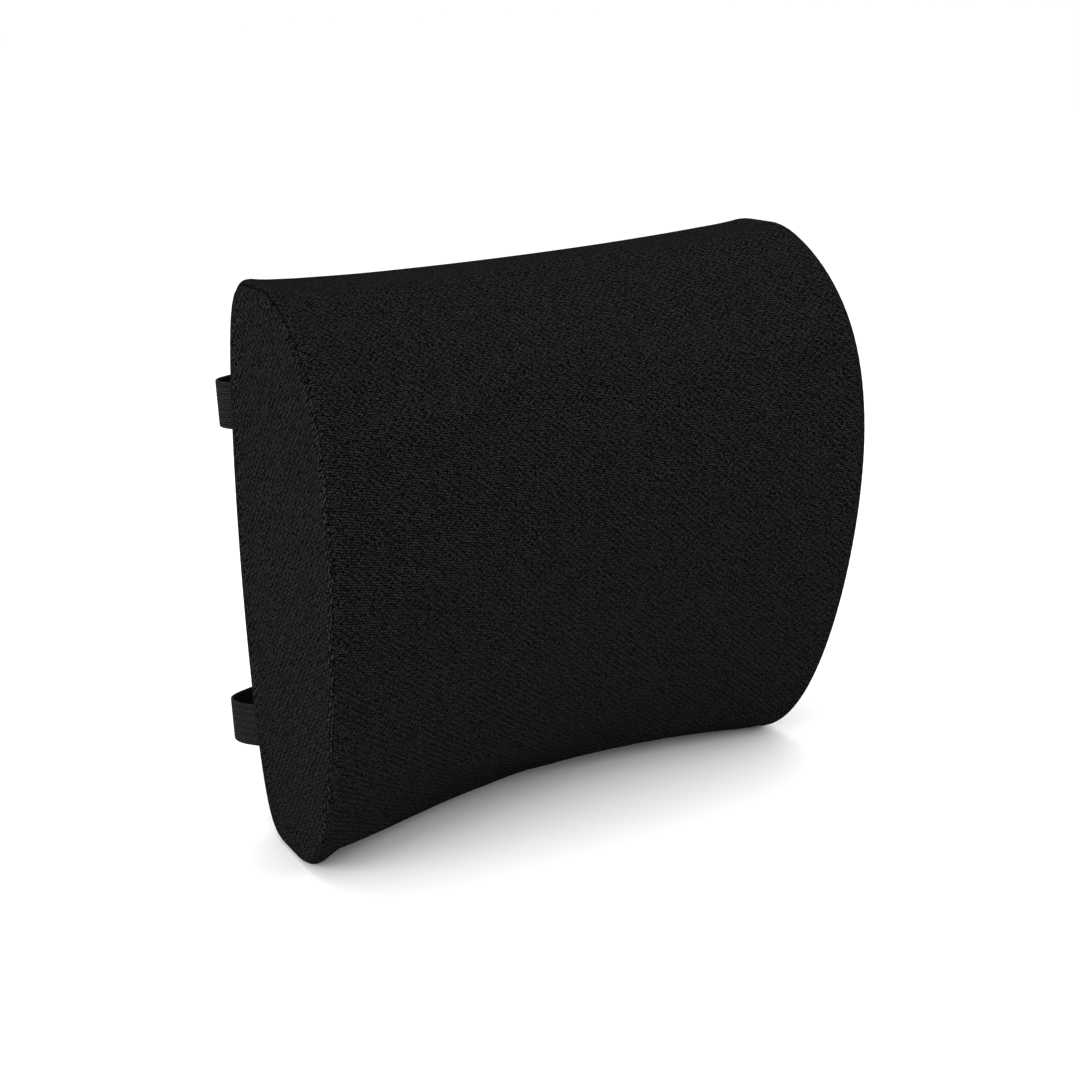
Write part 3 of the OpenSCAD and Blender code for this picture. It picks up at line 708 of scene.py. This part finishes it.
# End panels: polar grids from the middle of each end to the seam
for side, node in (("left", "cover_left_end_panel"), ("right", "cover_right_end_panel")):
    near_seam = (4.0 - HALF_GAP) * (1 - np.linspace(0, 1, 11)[1:]) ** 1.25
    k = np.concatenate([np.linspace(1.2, SEAM_M - 4.0, 40), SEAM_M - HALF_GAP - near_seam])
    m_line = k if side == "left" else TOTAL - k
    s_line = np.linspace(0, GIRTH, 361)
    mm, ss = np.meshgrid(m_line, s_line, indexing="ij")
    flat = surface(mm, angle_at(ss))
    # the knit lies a quarter turn round on the ends, and a little stretched
    right = flat[..., 1] * (-1 if side == "left" else 1)
    weave = np.stack([-flat[..., 2], -right, np.zeros_like(mm)], -1) / END_STRETCH
    seam_t = np.abs(SEAM_M - np.where(mm > TOTAL / 2, TOTAL - mm, mm))
    outer, inner = skin_layers(mm, ss, seam_t, seam_shape(seam_t, ss, end_seam_roll(ss)))
    rows, cols = outer.shape[0], outer.shape[1] - 1
    outer, inner, weave = outer[:, :-1], inner[:, :-1], weave[:, :-1].reshape(-1, 3)
    poles = [outer[0].mean(0), inner[0].mean(0)]
    verts = place(np.concatenate([outer.reshape(-1, 3), inner.reshape(-1, 3), poles]))
    layer, rim = rows * cols, (rows - 1) * cols
    faces = grid_faces(rows, cols, 0, False, True) + grid_faces(rows, cols, layer, True, True)
    for j in range(cols):
        k = (j + 1) % cols
        faces.append([rim + j, rim + k, layer + rim + k, layer + rim + j])
        faces += [[2 * layer, k, j], [2 * layer + 1, layer + j, layer + k]]
    weave = np.concatenate([weave, weave, [weave[:cols].mean(0)] * 2])
    # the ends take the knit's copy painted lighter: painted light
    cover_panel("cover_end_" + side, verts, faces, knit_end_painted_lighter, node, weave)

# Back panels: from the zip's opening to the corner seams
def high_of(m):
    d, inset, _ = meridian(m)
    return HALF_H * (1 - WAIST * (1 - (d / HALF) ** 2)) - inset, BACK - inset, d


GAP_END, GAP_FADE = 127.0, 10.0
STITCH_IN, STITCH_END = 4.2, 146.0  # the hem's stitches: how far from its edge, and where the row ends


def gap_of(d):
    """Half the zip's opening: it closes just past the chain's ends."""
    return ZIP_GAP / 2 * (1 - smooth((np.abs(d) - GAP_END) / GAP_FADE)) + 0.05


back_edges = {}
for side, node in ((1, "cover_back_upper_panel"), (-1, "cover_back_lower_panel")):
    m_line = dense(SEAM_M + HALF_GAP, TOTAL - SEAM_M - HALF_GAP, STEP)
    high, back, d = high_of(m_line)
    corner_z = section(np.array([UPPER_CORNER]), 1.0, 1.0, 1.0)[1][0] * high
    z_from, z_to = ZIP_Z + side * gap_of(d), side * (corner_z - 0.1)
    span = float(np.abs(z_to - z_from).max())
    k = dense(0.0, span, STEP) / span
    zz = z_from[:, None] + (z_to - z_from)[:, None] * k[None]
    mm = np.broadcast_to(m_line[:, None], zz.shape)
    zn = zz / high[:, None]
    yn = (1 - np.abs(zn) ** BACK_EXP) ** (1 / BACK_EXP)
    angle = np.degrees(np.arctan2(zn, yn))
    ss = np.mod(girth_at(np.mod(angle, 360)), GIRTH)
    flat = np.stack([mm, zz, np.zeros_like(zz)], -1)
    t_m = np.minimum(mm - SEAM_M, TOTAL - SEAM_M - mm)
    t_zip = np.abs(zz - z_from[:, None])
    t_corner = np.abs(zz - z_to[:, None])
    t = np.minimum(t_m, t_corner)
    # the hem at the zip rolls in, with a stitched line 4 mm from its edge
    hem = np.where(t_zip < 1.5, -(1.5 - np.sqrt(np.maximum(0, 2.25 - (1.5 - t_zip) ** 2))), 0)
    hem -= 0.4 * np.exp(-(((t_zip - STITCH_IN) / 0.8) ** 2))
    hem += 0.3 * np.exp(-(((t_zip - 2.2) / 1.4) ** 2))
    hem = hem * np.clip((gap_of(d)[:, None] - 0.1) / 3.0, 0.35, 1)
    name = "cover_back_" + ("upper" if side > 0 else "lower")
    lift = seam_shape(t, np.where(t_m < t_corner, zz, mm)) + hem
    flat_panel(name, mm, ss, t, lift, knit_back, node, flat)
    # a row of stitches along the hem
    keep = np.abs(d) < STITCH_END
    zline = (ZIP_Z + side * (gap_of(d) + STITCH_IN))[keep]
    line_m, line_d = m_line[keep], d[keep]
    zn = zline / high[keep]
    y = back[keep] * (1 - np.abs(zn) ** BACK_EXP) ** (1 / BACK_EXP)
    p = on_curve(line_d, y, zline)
    a = line_d / ARC_R
    up = np.stack([np.sin(a), np.cos(a), np.zeros_like(a)], -1)
    angle = np.degrees(np.arctan2(zn, y / back[keep]))
    sag = swell_at(line_m, np.mod(girth_at(np.mod(angle, 360)), GIRTH))
    back_edges[side] = (p + sag - up * 0.28, up)

stitches = []
for side, (p, up) in back_edges.items():
    stitches += stitch_row(p, up, 3.3)
v, f = join_parts(stitches)
make("zip_hem_stitching", place(v), f, thread_mat, "cushion")

# ---------------------------------------------------------------- foam and liner, inside the cover


def pad(name, skin, thickness, material, node, wrinkle):
    """A solid block, or with a thickness a hollow bag, with its surface a skin's depth inside the cover."""
    face, edge = np.linspace(2, FACE_R, 14), FACE_R + np.linspace(0, EDGE_LEN, 5)
    body = FACE_R + EDGE_LEN + np.linspace(0, BODY_LEN / 2, 30)
    m_line = np.unique(np.concatenate([face, edge, body]))
    m_line = np.unique(np.round(np.concatenate([m_line, TOTAL - m_line]), 5))
    s_line = np.arange(140) * GIRTH / 140
    mm, ss = np.meshgrid(m_line, s_line, indexing="ij")
    rows, cols = mm.shape

    def skin_at(depth):
        p = surface(mm, angle_at(ss), depth)
        at_back = np.cos(np.radians(angle_at(ss))) > 0
        p[..., 1] -= np.where(at_back, 2.0, 0.0) * np.clip(np.minimum(mm, TOTAL - mm) / FACE_R, 0, 1)
        n = outward(p, normals_of(p))
        ripple = np.sin(mm / 19.0 + 2 * np.sin(ss / 31.0)) * np.sin(ss / 23.0 + 1.3 * np.sin(mm / 41.0))
        return p + n * (wrinkle * (ripple - 1))[..., None]

    verts, faces = [], []
    shells = [skin_at(skin)] + ([skin_at(skin + thickness)] if thickness else [])
    for k, g in enumerate(shells):
        base, turned = k * (rows * cols + 2), k == 1
        near, far, step = base + rows * cols, base + (rows - 1) * cols, -1 if turned else 1
        verts += [g.reshape(-1, 3), np.stack([g[0].mean(0), g[-1].mean(0)])]
        faces += grid_faces(rows, cols, base, turned, True)
        faces += [[near, base + (j + 1) % cols, base + j][::step] for j in range(cols)]
        faces += [[near + 1, far + j, far + (j + 1) % cols][::step] for j in range(cols)]
    w = np.stack([mm, ss, np.zeros_like(mm)], -1).reshape(-1, 3)
    weave = np.concatenate([w, w[:1], w[-1:]] * len(shells)) * MM
    ob = make(name, place(np.concatenate(verts)), faces, material, "cushion", weave)
    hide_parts(node)


pad("foam_block", 5.4, 0, foam_mat, "foam_core", 0.12)
pad("liner_bag", 3.7, 0.7, liner_mat, "inner_liner", 0.25)

# ---------------------------------------------------------------- zip


def zip_point(angle, out, z):
    """A place on the zip: degrees round the back's curve, mm outward, mm above its line."""
    a = np.radians(angle)
    r = ZIP_R + out
    return np.stack([-r * np.sin(a), ZIP_CENTRE + r * np.cos(a), ZIP_Z + z + np.zeros_like(a)], -1)


tape_half = ZIP_HALF + 1.6
for side in (1, -1):
    angle = np.linspace(-tape_half, tape_half, 240)
    z = np.concatenate([[1.5, 1.62], np.linspace(1.9, TAPE_W - 0.4, 16), [TAPE_W - 0.12, TAPE_W]])
    profile = [1.5, 1.62, 1.9, TAPE_W - 0.4, TAPE_W - 0.12, TAPE_W]
    lift = np.interp(z, profile, [-0.27, -0.08, 0, 0, -0.08, -0.27])
    aa, zz = np.meshgrid(angle, z, indexing="ij")
    ll = np.broadcast_to(lift[None], aa.shape)
    # past the chain's ends the two tapes come together
    near = 1.5 - 1.46 * np.clip((np.abs(aa) - ZIP_HALF - 0.1) / 0.4, 0, 1)
    zz = side * (near + (zz - 1.5) * (TAPE_W - near) / (TAPE_W - 1.5))
    rib = 0.05 * np.cos(zz * 2 * math.pi / 2.2)
    outer = zip_point(aa, TAPE_TOP - 0.05 + ll + rib, zz)
    inner = zip_point(aa, TAPE_TOP - 0.6 - ll - 0.02, zz)
    v, f = closed_sheet(place(outer), place(inner))
    weave = np.stack([np.radians(aa) * ZIP_R, zz, np.zeros_like(zz)], -1).reshape(-1, 3) * MM
    name = "upper" if side > 0 else "lower"
    ob = make("zip_tape_" + name, v, f, tape_mat, "cushion", weave=np.concatenate([weave, weave]))
    fix_normals(ob)
    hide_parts(f"zip_{name}_tape")

# Coils: a flattened helix on each tape, half a pitch apart so that they mesh
pitch = 1.36
SLIDER_LEN = 11.0
slider_half = math.degrees(SLIDER_LEN / 2 / ZIP_R)
slider_rest = -(ZIP_HALF - slider_half)
run = math.radians(ZIP_HALF - slider_rest) * ZIP_R
turns = int(run / pitch)
for side in (1, -1):
    t = np.arange(turns * 14) / 14.0
    ph = 2 * math.pi * t
    along = (t + (0.25 if side > 0 else 0.75)) * pitch
    angle = slider_rest + np.degrees(along / ZIP_R)
    reach = 1.15 + 1.28 * np.cos(ph)
    head = np.where(np.cos(ph) < -0.6, 0.10, 0)
    out = TAPE_TOP + 1.27 + (0.82 + head) * np.sin(ph)
    p = zip_point(angle, out, side * reach)
    v, f = tube(p, 0.34, 6)
    # thread that binds the coil to the tape
    t2 = np.arange(turns * 4) / 4.0
    ph2 = 2 * math.pi * t2
    angle = slider_rest + np.degrees((t2 + 0.4) * pitch / ZIP_R)
    bind = zip_point(angle, TAPE_TOP + 0.35 + 0.12 * np.cos(ph2), side * (2.62 + 0.1 * np.sin(ph2)))
    v, f = join_parts([(v, f), tube(bind, 0.2, 5)])
    name = "upper" if side > 0 else "lower"
    ob = make("zip_coil_" + name, place(v), f, coil_mat, "cushion")
    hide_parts(f"zip_{name}_coil")

# ---------------------------------------------------------------- webbing


def arc(p, r, start, end, steps):
    """Points along a bend of radius r, from one heading to another."""
    a = math.radians(start)
    bend = np.radians(np.linspace(start, end, steps + 1)[1:])
    return [p + r * np.array([math.sin(a) - math.sin(h), math.cos(h) - math.cos(a)]) for h in bend]


SOCKET_BAR, PLUG_BAR, GLIDE_X = -26.3, 22.5, 55.0
BAR_R, GLIDE_BAR_R = 1.7, 1.3
WRAP = BAR_R + 0.15 + WEB_T / 2
GLIDE_WRAP = GLIDE_BAR_R + 0.2 + WEB_T / 2
GLIDE_Y = -(TIE + WEB_T / 2 + 0.2 + GLIDE_BAR_R)
# Each strap's height, its straight lead out of the seam and the radius of its first bend
LEVELS = {"upper": (STRAP_Z, 2.0, 10.0), "lower": (-STRAP_Z, 6.0, 16.0)}
SEAM_HEADING, REST_HEADING, EASE_R = 128, 16, 150.0


def strap_y(level):
    return back_point(HALF - SEAM, LEVELS[level][0])[1] + STRAP_SAG


def heading(degrees):
    return np.array([math.cos(math.radians(degrees)), math.sin(math.radians(degrees))])


def strap_route(level):
    z, lead, bend = LEVELS[level]
    seam = back_point(HALF - SEAM, z)
    way = heading(SEAM_HEADING)
    start = np.array([-seam[0] - 0.5, seam[1] + 0.5])
    out = start + lead * way
    pts = [start - 3.2 * way, start, out]
    pts += arc(out, bend, SEAM_HEADING, 90, 12)
    pts += arc(pts[-1], 7.5, 90, 25, 16)
    pts += arc(pts[-1], 40, 25, REST_HEADING, 8)
    rise = strap_y(level) - EASE_R * (1 - heading(REST_HEADING)[0]) - pts[-1][1]
    pts.append(pts[-1] + rise / heading(REST_HEADING)[1] * heading(REST_HEADING))
    pts += arc(pts[-1], EASE_R, REST_HEADING, 0, 12)
    return pts


def round_bar(x, y, r, side=1):
    """Half a turn round a bar, from behind it to in front of it."""
    turn = np.radians(np.arange(90, -91, -11.25))
    return [np.array([x + side * r * math.cos(a), y + r * math.sin(a)]) for a in turn]


def bar_loop(x, y, back_to):
    """Round a bar at x, coming along from -X and going back under itself."""
    lead = [(-7.7, 0), (-5.6, WRAP * 0.22), (-3.7, WRAP * 0.62), (-1.9, WRAP * 0.9)]
    away = [(-2.1, -WRAP * 0.97), (-4.2, -WRAP * 0.85), (-6.0, -(WRAP * 0.85 + TIE) / 2), (-7.7, -TIE)]
    pts = [np.array([x + a, y + b]) for a, b in lead] + round_bar(x, y, WRAP)
    return pts + [np.array([x + a, y + b]) for a, b in away] + [np.array([back_to, y - TIE])]


def resample(route, step=1.1):
    p = np.array(route)
    s = np.concatenate([[0], np.cumsum(np.linalg.norm(np.diff(p, axis=0), axis=1))])
    # a light smoothing spline: round off the corners of the polyline, then walk along it
    fine = np.linspace(0, s[-1], int(s[-1] / 0.35) + 1)
    q = np.stack([np.interp(fine, s, p[:, k]) for k in range(2)], -1)
    for _ in range(10):
        q[1:-1] = q[1:-1] * 0.5 + (q[:-2] + q[2:]) * 0.25
    s = np.concatenate([[0], np.cumsum(np.linalg.norm(np.diff(q, axis=0), axis=1))])
    walk = np.linspace(0, s[-1], max(2, int(round(s[-1] / step))) + 1)
    return np.stack([np.interp(walk, s, q[:, k]) for k in range(2)], -1), walk


def webbing(name, route, level, body):
    """A ribbed band along a route in plan, with soft selvedges and a real thickness."""
    q, s = resample(route)
    z0 = LEVELS[level][0]
    tan = np.gradient(q, axis=0)
    tan /= np.linalg.norm(tan, axis=1)[:, None]
    nor = np.stack([-tan[:, 1], tan[:, 0]], -1)
    w = np.linspace(-1, 1, 73) * WEB_W / 2
    edge = WEB_W / 2 - np.abs(w)
    half = (WEB_T / 2) * np.sqrt(np.clip(1 - (1 - np.minimum(edge, 0.8) / 0.8) ** 2, 0, 1)) * 0.93
    half = half + 0.055 * np.cos(w * 2 * math.pi / 2.05) * np.clip(edge / 1.2, 0, 1)
    half = np.maximum(half, 0.03)
    pick = 1 + 0.02 * np.cos(s * 2 * math.pi / 2.2)
    sides = []
    for sign in (1, -1):
        off = sign * half[None, :] * pick[:, None]
        xy = q[:, None, :] + nor[:, None, :] * off[..., None]
        sides.append(np.concatenate([xy, np.broadcast_to((z0 + w)[None, :, None], xy.shape[:2] + (1,))], -1))
    v, f = closed_sheet(place(sides[0]), place(sides[1]))
    ss, ww = np.meshgrid(s, w, indexing="ij")
    weave = np.stack([ss, ww, np.zeros_like(ss)], -1).reshape(-1, 3) * MM
    ob = make(name, v, f, webbing_mat, body, weave=np.concatenate([weave, weave]))
    fix_normals(ob)
    return ob


def box_stitch(x_from, x_to, y, z0, half_w=9.0):
    """A sewn box with a cross, on the strap's outer face."""
    zs = (z0 - half_w, z0 + half_w)
    corners = [(x_from, zs[0]), (x_to, zs[0]), (x_to, zs[1]), (x_from, zs[1])]
    lines = [(corners[k], corners[(k + 1) % 4]) for k in range(4)]
    lines += [(corners[0], corners[2]), (corners[1], corners[3])]
    parts = []
    for (xa, za), (xb, zb) in lines:
        p = np.array([[xa, y, za], [xb, y, zb]], float)
        parts += stitch_row(p, np.array([[0, 1.0, 0], [0, 1.0, 0]]), 2.3, 0.8, 0.24, 0.3)
    return parts


def mirrored(route):
    return [np.array([-q[0], q[1]]) for q in route]


SEWN_FROM, SEWN_TO = -56.5, -40.0
for level in ("upper", "lower"):
    z0 = LEVELS[level][0]
    y = strap_y(level)
    left = strap_route(level) + bar_loop(SOCKET_BAR, y, SOCKET_BAR - 32)
    ob = webbing(f"{level}_strap_left_web", left, level, "cushion")
    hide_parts(f"{level}_strap_left")
    v, f = join_parts(box_stitch(SEWN_FROM, SEWN_TO, y + WEB_T / 2 + 0.02, z0))
    make(f"{level}_strap_left_stitching", place(v), f, thread_web, "cushion")

    # right half: to the plug's bar and round it, then back to the adjuster
    loop = bar_loop(-PLUG_BAR, y, -GLIDE_X)[:-1]
    main = strap_route(level) + loop + [np.array([-PLUG_BAR - 9.0, y - TIE])]
    ob = webbing(f"{level}_strap_right_web", mirrored(main), level, None)
    z = FOOT_Z * MM
    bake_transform(ob, "cushion", f"{level}_plug", start=(0.150, 0, z), end=(0.088, 0, z))
    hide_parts(f"{level}_strap_right")
    bar_y = y + GLIDE_Y
    back = [np.array([x, y - TIE]) for x in (-PLUG_BAR - 8.9, -GLIDE_X + 5.5, -GLIDE_X + 0.5)]
    back += round_bar(-GLIDE_X, bar_y, GLIDE_WRAP, -1)
    back += [np.array([-GLIDE_X + 2, bar_y - GLIDE_WRAP + 0.1])]
    back += [np.array([x, y - 2 * TIE]) for x in (-GLIDE_X + 8.5, -GLIDE_X + 18)]
    ob = webbing(f"{level}_strap_return_web", mirrored(back), level, None)
    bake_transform(ob, f"{level}_plug", f"{level}_adjuster", start=(0.0325, 0, z), end=(0.0405, 0, z))

# ---------------------------------------------------------------- hard parts: CAD shapes, edges softened


def softened(node, name, body, material, width, segments=2):
    """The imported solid's own mesh with its sharp edges rounded, standing for the node."""
    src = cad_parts[node]
    mesh = src.data.copy()
    bm = bmesh.new()
    bm.from_mesh(mesh)
    bmesh.ops.remove_doubles(bm, verts=bm.verts, dist=2e-6)
    bmesh.ops.dissolve_limit(bm, angle_limit=math.radians(1.5), verts=bm.verts, edges=bm.edges)
    bmesh.ops.recalc_face_normals(bm, faces=bm.faces)
    bm.to_mesh(mesh)
    bm.free()
    mesh.name = name
    mesh.materials.clear()
    mesh.materials.append(material)
    for key in [a.name for a in mesh.attributes if a.name == "custom_normal"]:
        mesh.attributes.remove(mesh.attributes[key])
    mesh.polygons.foreach_set("use_smooth", [True] * len(mesh.polygons))
    ob = bpy.data.objects.new(name, mesh)
    bpy.context.scene.collection.objects.link(ob)
    bev = ob.modifiers.new("edges", "BEVEL")
    bev.width = width * MM
    bev.segments = segments
    bev.limit_method = "ANGLE"
    bev.angle_limit = math.radians(28)
    bev.use_clamp_overlap = True
    bev.harden_normals = True
    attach(ob, body)
    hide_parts(node)


for level in ("upper", "lower"):
    for node, name, body, width, segments in (
        ("buckle_socket", "buckle_socket_body", "cushion", 0.7, 3),
        ("buckle_plug", "buckle_plug_body", level + "_plug", 0.6, 3),
        ("buckle_top_arm", "buckle_arm_top", level + "_top_arm", 0.4, 2),
        ("buckle_bottom_arm", "buckle_arm_bottom", level + "_bottom_arm", 0.4, 2),
        ("strap_adjuster", "adjuster_frame", level + "_adjuster", 0.35, 2),
    ):
        full, mine = f"{level}_{node}", f"{level}_{name}"
        softened(full, mine, body, plastic_mat, width, segments)
softened("zip_slider", "zip_slider_body", "zip_slider", metal_mat, 0.22, 2)
softened("zip_pull", "zip_pull_tab", "zip_pull", metal_mat, 0.25, 2)
softened("zip_end_stops", "zip_end_stop_blocks", "cushion", metal_mat, 0.15, 2)

# ---------------------------------------------------------------- floor, light, camera

FLOOR, UNDER = 30, -0.0004
floor_mesh = bpy.data.meshes.new("floor")
corners = [(-FLOOR, -FLOOR, UNDER), (FLOOR, -FLOOR, UNDER), (FLOOR, FLOOR, UNDER), (-FLOOR, FLOOR, UNDER)]
floor_mesh.from_pydata(corners, [], [(0, 1, 2, 3)])
floor = bpy.data.objects.new("floor", floor_mesh)
bpy.context.scene.collection.objects.link(floor)
fn = Net("floor_pale")
floor_mesh.materials.append(fn.set(Base_Color=(0.9, 0.9, 0.9, 1), Roughness=0.9, Specular_IOR_Level=0.1))

scene = bpy.context.scene
world = bpy.data.worlds.new("studio")
scene.world = world
world.use_nodes = True
world.node_tree.nodes["Background"].inputs["Color"].default_value = (1, 1, 1, 1)
world.node_tree.nodes["Background"].inputs["Strength"].default_value = 1.12
scene.view_settings.view_transform = "Standard"
scene.view_settings.look = "None"
scene.view_settings.exposure = 0.0
scene.view_settings.gamma = 1.0


def area_light(name, place_at, aim, size, watts):
    light = bpy.data.lights.new(name, "AREA")
    light.shape = "DISK"
    light.size = size
    light.energy = watts
    ob = bpy.data.objects.new(name, light)
    scene.collection.objects.link(ob)
    at = np.array(place_at, float)
    z = at - np.array(aim, float)
    z /= np.linalg.norm(z)
    x = np.cross([0, 0, 1.0], z)
    x /= np.linalg.norm(x)
    pose = np.stack([x, np.cross(z, x), z, at], 1)
    ob.matrix_world = Matrix([*pose.tolist(), [0, 0, 0, 1]])


area_light("key", (-2.3, -0.5, 1.3), (0, 0, 0.16), 1.6, 34)
area_light("top", (0.1, -0.3, 2.4), (0, 0, 0.16), 2.0, 20)
area_light("fill", (2.0, -1.4, 1.4), (0, 0, 0.16), 1.6, 14)

cam = bpy.data.cameras.new("camera")
camera = bpy.data.objects.new("camera", cam)
scene.collection.objects.link(camera)
cam.sensor_width = 36
cam.lens = 55.27
cam.dof.use_dof = False
tilt, roll, turn = 0.3216, -0.037, 0.5278
rz = np.array([[math.cos(turn), -math.sin(turn), 0], [math.sin(turn), math.cos(turn), 0], [0, 0, 1]])
down = np.array([[1, 0, 0], [0, 0, -1], [0, 1, 0]])
rx = np.array([[1, 0, 0], [0, math.cos(tilt), -math.sin(tilt)], [0, math.sin(tilt), math.cos(tilt)]])
rr = np.array([[math.cos(roll), -math.sin(roll), 0], [math.sin(roll), math.cos(roll), 0], [0, 0, 1]])
look = rr @ rx @ down @ rz
MIDDLE_SEEN = np.array([2.1, -3.09, 930.07])  # the cushion's middle from the camera: right, down, ahead
at = (-look.T @ MIDDLE_SEEN + [0, shift_y, FOOT_Z]) * MM
axes = look.T @ np.diag([1, -1, -1])
camera.matrix_world = Matrix([*np.column_stack([axes, at]).tolist(), [0, 0, 0, 1]])
scene.camera = camera
